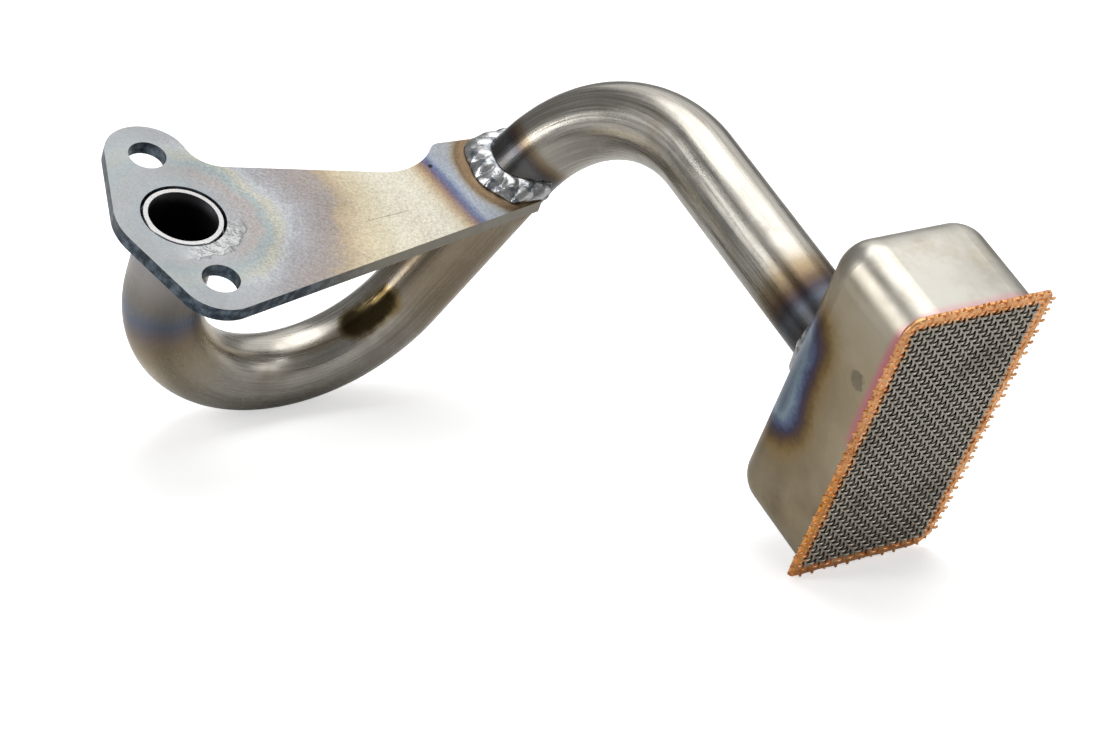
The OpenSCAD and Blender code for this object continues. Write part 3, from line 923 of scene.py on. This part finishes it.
def buildRippleTree():
    numbers = ("Ripples", "Bow", "Height", "Unevenness")
    sockets = {"Geometry": "Geometry", **dict.fromkeys(numbers, "Float"), "Material": "Material"}
    tree, into, out = newGroup("weldRipples", "GeometryNodeTree", sockets, {"Geometry": "Geometry"})

    def attribute(label):
        node = addNode(tree, "GeometryNodeInputNamedAttribute", {"Name": label})
        node.data_type = "FLOAT"
        return node.outputs[0]

    middle = minus(tree, attribute("across"), 0.5)
    offMiddle = times(tree, middle, middle)
    position = tree.nodes.new("GeometryNodeInputPosition").outputs[0]
    drift = swing(tree, position, bead["driftScale"], detail=2.0, rough=0.5)
    count = plus(tree, times(tree, attribute("along"), into["Ripples"]), times(tree, offMiddle, into["Bow"]))
    count = plus(tree, count, times(tree, drift, into["Unevenness"]))
    saw = minus(tree, times(tree, mathNode(tree, "FRACT", count), 2.0), 1.0)
    ripple = minus(tree, 1.0, times(tree, saw, saw))
    body = larger(tree, minus(tree, 1.0, times(tree, offMiddle, 4.0)), 0.0)
    lift = times(tree, times(tree, ripple, body), into["Height"])
    normal = tree.nodes.new("GeometryNodeInputNormal").outputs[0]
    offset = vectorNode(tree, "SCALE", normal, scale=lift)
    moved = addNode(tree, "GeometryNodeSetPosition", {"Geometry": into["Geometry"], "Offset": offset})
    feed(tree, out["Geometry"], finished(tree, moved.outputs[0], into["Material"]))
    return tree


rippleTree = buildRippleTree()


def beadRing(section, crown):  # toe to top along a crowned skin, then the root
    toe, top, root = section
    chord = top - toe
    out = (toe + top) / 2 - root
    out = (out - chord * (out.dot(chord) / chord.length_squared)).normalized()
    shares = [k / (bead["skinPoints"] - 1) for k in range(bead["skinPoints"])]
    ring = [(toe + chord * s + out * crown * 4 * s * (1 - s), s) for s in shares]
    return ring + [(root, 1.0)]


def makeBead(name, look, sectionAt, at):
    steps, closed = look["steps"], look["closed"]
    mesh = bmesh.new()
    along = mesh.verts.layers.float.new("along")
    across = mesh.verts.layers.float.new("across")
    rings = []
    for i in range(steps if closed else steps + 1):
        ring = []
        for p, share in beadRing(sectionAt(i / steps), look["crown"]):
            vert = mesh.verts.new(placed(at, p))
            vert[along] = i / steps
            vert[across] = share
            ring.append(vert)
        rings.append(ring)
    loft(mesh, rings, closed, False)
    if not closed:
        mesh.faces.new(rings[0])
        mesh.faces.new(rings[-1])
    bmesh.ops.recalc_face_normals(mesh, faces=mesh.faces)
    values = {
        "Ripples": look["ripples"], "Bow": look["bow"], "Height": look["height"] * mm,
        "Unevenness": look["unevenness"], "Material": weldSteel,
    }
    return newObject(name, baked(name, meshObject(name + "Plain", mesh), rippleTree, values))


def swayed(t, waves):  # waves of a share, a rate and a start
    return 1 + sum(share * math.sin(rate * t + start) for share, rate, start in waves)


armBead = dict(
    ripples=9.0, bow=1.2, height=0.75, unevenness=0.35, crown=0.6, steps=260, closed=False,
    toe=14.6, toeSway=((0.03, 9, 0), (0.02, 23, 1)), rise=3.7, riseSway=((0.06, 17, 0),),
    headHalf=12.0, sweep=92.0, sink=0.03, topInset=0.12, rootInset=0.1,
)
riserLean = (0.0048, 0.5543)  # how far the riser's axis moves over the plate for each millimetre up
riserCosine = 1 / math.hypot(1, *riserLean)


def armSection(t):
    a = math.radians(armBead["sweep"] * (2 * t - 1))
    toHead = armBead["headHalf"] / max(abs(math.sin(a)), 0.01)
    reach = min(armBead["toe"] * swayed(t, armBead["toeSway"]), toHead)
    x, y, z = armCrossing
    toe = Vector((x + reach * math.sin(a), y - reach * math.cos(a), z - armBead["sink"]))

    def onTube(up, inset):
        r = tube["outer"] - inset
        across = x + riserLean[0] * up + r * math.sin(a)
        return Vector((across, y + riserLean[1] * up - r / riserCosine * math.cos(a), z + up))

    top = onTube(armBead["rise"] * swayed(t, armBead["riseSway"]), armBead["topInset"])
    return toe, top, onTube(-armBead["sink"], armBead["rootInset"])


boxBead = dict(
    ripples=20.0, bow=2.2, height=0.4, unevenness=0.9, crown=0.6, steps=420, closed=True,
    leg=3.6, sway=((0.08, 5, 0), (0.05, 11, 2)), flatHalf=11.1, backRadius=8.5, side=-1.9,
    toeSink=0.08, rootSink=0.1, rootInset=0.1,
)


def boxSection(t):
    a = 2 * math.pi * t
    leg = boxBead["leg"] * swayed(a, boxBead["sway"])

    def surface(r, sink):
        v = boxBead["side"] + r * math.sin(a)
        past = max(abs(v) - boxBead["flatHalf"], 0.0)
        drop = boxBead["backRadius"] - math.sqrt(max(boxBead["backRadius"] ** 2 - past ** 2, 0.0))
        return Vector((r * math.cos(a), v, drop + sink))

    root = surface(tube["outer"] - boxBead["rootInset"], boxBead["rootSink"])
    return surface(tube["outer"] + leg, boxBead["toeSink"]), root - Vector((0, 0, leg)), root


flangeBead = dict(
    ripples=18.0, bow=2.2, height=0.4, unevenness=0.9, crown=0.5, steps=380, closed=True,
    leg=4.4, sway=((0.05, 4, 0), (0.04, 9, 1)), under=-3.5, sink=0.05, rootInset=0.1,
)


def flangeSection(t):
    a = 2 * math.pi * t
    leg = flangeBead["leg"] * swayed(a, flangeBead["sway"])
    way = Vector((math.cos(a), math.sin(a), 0))
    plate = Vector((0, 0, flangeBead["under"] + flangeBead["sink"]))
    root = way * (tube["outer"] - flangeBead["rootInset"]) + plate
    return way * (tube["outer"] + leg) + plate, root - Vector((0, 0, leg)), root


for beadName, look, sectionAt, at, node in (
    ("armBead", armBead, armSection, flangeAt, "arm_weld"),
    ("boxBead", boxBead, boxSection, boxAt, "box_weld"),
    ("flangeBead", flangeBead, flangeSection, flangeAt, "flange_weld"),
):
    weld = makeBead(beadName, look, sectionAt, at)
    dress(weld, weldSteel, "weld", node)
    print("bead laid", beadName, len(weld.data.polygons))

# floor, light and camera
studio = dict(floorColor=(0.86, 0.86, 0.86, 1), floorRough=0.9, floorHalf=12.0, floorLift=0.55, world=0.22)


def cameraRay(tree):
    return tree.nodes.new("ShaderNodeLightPath").outputs["Is Camera Ray"]


def makeFloor():
    material = bpy.data.materials.new("paleFloor")
    material.use_nodes = True
    tree = material.node_tree
    shader = tree.nodes["Principled BSDF"]
    shader.inputs["Base Color"].default_value = studio["floorColor"]
    shader.inputs["Roughness"].default_value = studio["floorRough"]
    shader.inputs["Specular IOR Level"].default_value = 0.0
    lift = times(tree, cameraRay(tree), studio["floorLift"])
    glow = addNode(tree, "ShaderNodeEmission", {"Strength": lift})
    both = addNode(tree, "ShaderNodeAddShader", {0: shader.outputs[0], 1: glow.outputs[0]})
    feed(tree, tree.nodes["Material Output"].inputs["Surface"], both.outputs[0])
    mesh = bpy.data.meshes.new("floor")
    s = studio["floorHalf"]
    mesh.from_pydata([(-s, -s, 0), (s, -s, 0), (s, s, 0), (-s, s, 0)], [], [(0, 1, 2, 3)])
    mesh.materials.append(material)
    floor = newObject("floor", mesh)


def makeWorld():
    world = bpy.data.worlds.new("studio")
    bpy.context.scene.world = world
    world.use_nodes = True
    tree = world.node_tree
    sky = tree.nodes["Background"]
    lift = times(tree, cameraRay(tree), 1 - studio["world"])
    feed(tree, sky.inputs["Strength"], plus(tree, lift, studio["world"]))
    sky.inputs["Color"].default_value = (1, 1, 1, 1)


lamps = [
    dict(name="overhead", at=(0.1, 0.3, 1.4), to=(0, 0, 0.04), size=(1.2, 1.2), power=11.2),
    dict(name="leftSoft", at=(-1.3, -0.6, 0.8), to=(0, 0, 0.04), size=(0.5, 1.0), power=8.6),
    dict(name="backSoft", at=(0.4, 1.5, 1.2), to=(0, 0, 0.05), size=(2.2, 1.0), power=5.5),
    dict(name="rightSoft", at=(1.4, -0.2, 0.7), to=(0, 0, 0.04), size=(0.35, 0.9), power=4.0),
]


def makeLamps():
    for look in lamps:
        data = bpy.data.lights.new(look["name"], "AREA")
        data.shape = "RECTANGLE"
        data.size, data.size_y = look["size"]
        data.energy = look["power"]
        lamp = newObject(look["name"], data)
        lamp.location = look["at"]
        way = Vector(look["to"]) - Vector(look["at"])
        lamp.rotation_euler = way.to_track_quat("-Z", "Y").to_euler()


photoView = dict(
    at=Vector((-4.224, -726.596, 339.08)), right=Vector((0.998752, 0.014947, 0.047645)),
    up=Vector((-0.049711, 0.387702, 0.920443)), back=Vector((-0.004714, -0.921664, 0.387961)),
    lens=110.265, sensor=36.0, clip=(0.01, 100.0),
)


def makeCamera():
    view = photoView
    data = bpy.data.cameras.new("photoCamera")
    data.lens = view["lens"]
    data.sensor_width = view["sensor"]
    data.sensor_fit = "HORIZONTAL"
    data.clip_start, data.clip_end = view["clip"]
    camera = newObject("photoCamera", data)
    camera.matrix_world = frameMatrix(view["right"], view["up"], view["back"], view["at"] * mm)
    bpy.context.scene.camera = camera


makeFloor()
makeWorld()
makeLamps()
makeCamera()
bpy.context.scene.view_settings.view_transform = "Standard"
print("studio set")
